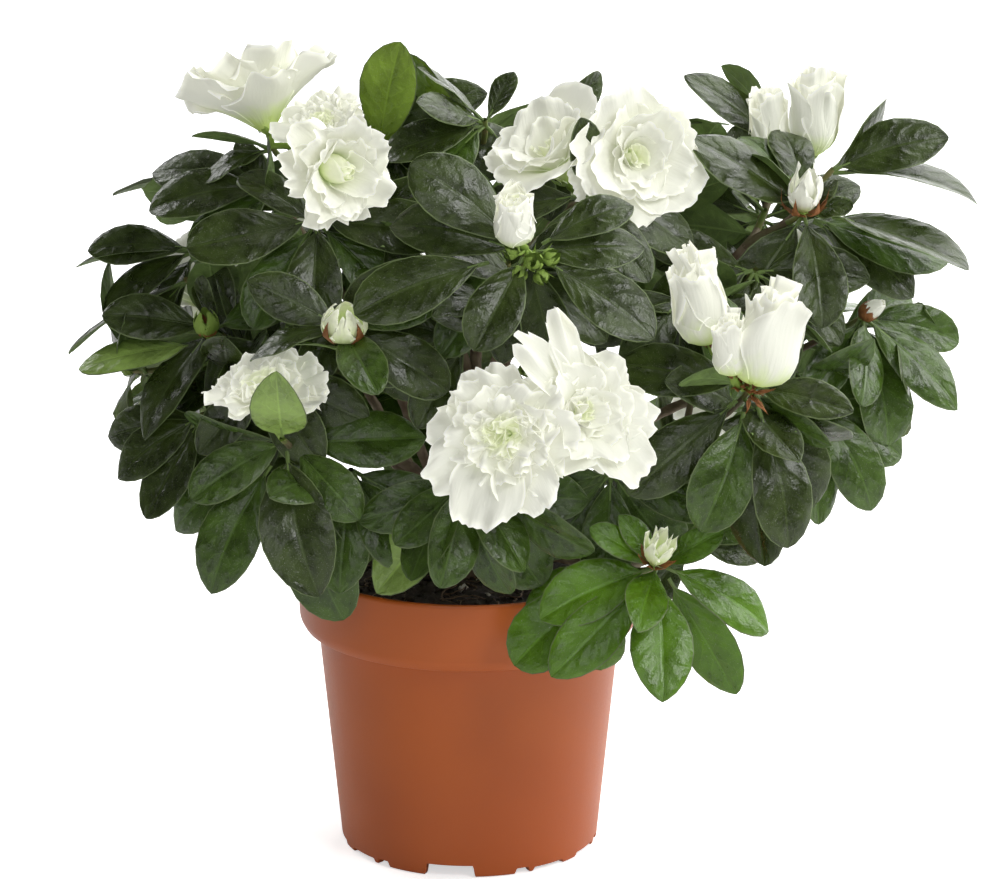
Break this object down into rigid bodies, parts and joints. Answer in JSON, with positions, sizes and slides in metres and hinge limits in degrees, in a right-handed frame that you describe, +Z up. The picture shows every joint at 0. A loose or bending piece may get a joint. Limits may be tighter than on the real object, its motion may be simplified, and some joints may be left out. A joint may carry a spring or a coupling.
{
  "type": "potted azalea shrub",
  "caption": "Compact white double-flowered azalea shrub with glossy dark leaves, standing in a terracotta-coloured plastic nursery pot.",
  "frame": {"origin": "on the pot's axis, at the flat underside of the pot, on the surface that the pot stands on", "axes": "+Z up along the pot's axis, +X to the plant's right as seen from its front, -Y towards the front, where the largest pair of blooms faces"},
  "size_m": [0.3131, 0.2641, 0.2955],
  "materials": {
    "pot_plastic": "satin injection-moulded terracotta-coloured plastic",
    "peat": "damp dark brown peat with fine roots",
    "bark": "dull grey-brown bark, green-brown on young twigs",
    "leaf": "glossy dark green leaves with pale midribs and margins",
    "petal": "soft white petals, greenish yellow in the throat",
    "bud": "pale green-white buds with brown scales"
  },
  "bodies": {
    "root": {"pot": "pot_plastic", "root_ball": "peat", "stem": "bark", "bough_front_right_low": "bark", "bough_front": "bark", "bough_front_left_low": "bark", "bough_left": "bark", "bough_back_left": "bark", "bough_back": "bark", "bough_back_right": "bark", "bough_right": "bark", "bough_leader": "bark", "bough_front_right": "bark", "bough_front_high": "bark", "bough_front_left_high": "bark", "bough_left_high": "bark", "bough_back_left_high": "bark", "bough_back_right_high": "bark", "bough_right_high": "bark", "bough_top_left": "bark", "bough_top_right": "bark", "foliage_front_right_low": "leaf", "foliage_front": "leaf", "foliage_front_left_low": "leaf", "foliage_left": "leaf", "foliage_back_left_low": "leaf", "foliage_back_low": "leaf", "foliage_back_right_low": "leaf", "foliage_right": "leaf", "foliage_front_right": "leaf", "foliage_front_high": "leaf", "foliage_front_left_high": "leaf", "foliage_left_high": "leaf", "foliage_back_left_high": "leaf", "foliage_back_right_high": "leaf", "foliage_right_high": "leaf", "foliage_top_left": "leaf", "foliage_top": "leaf", "foliage_top_right": "leaf"}
  },
  "joints": []
}
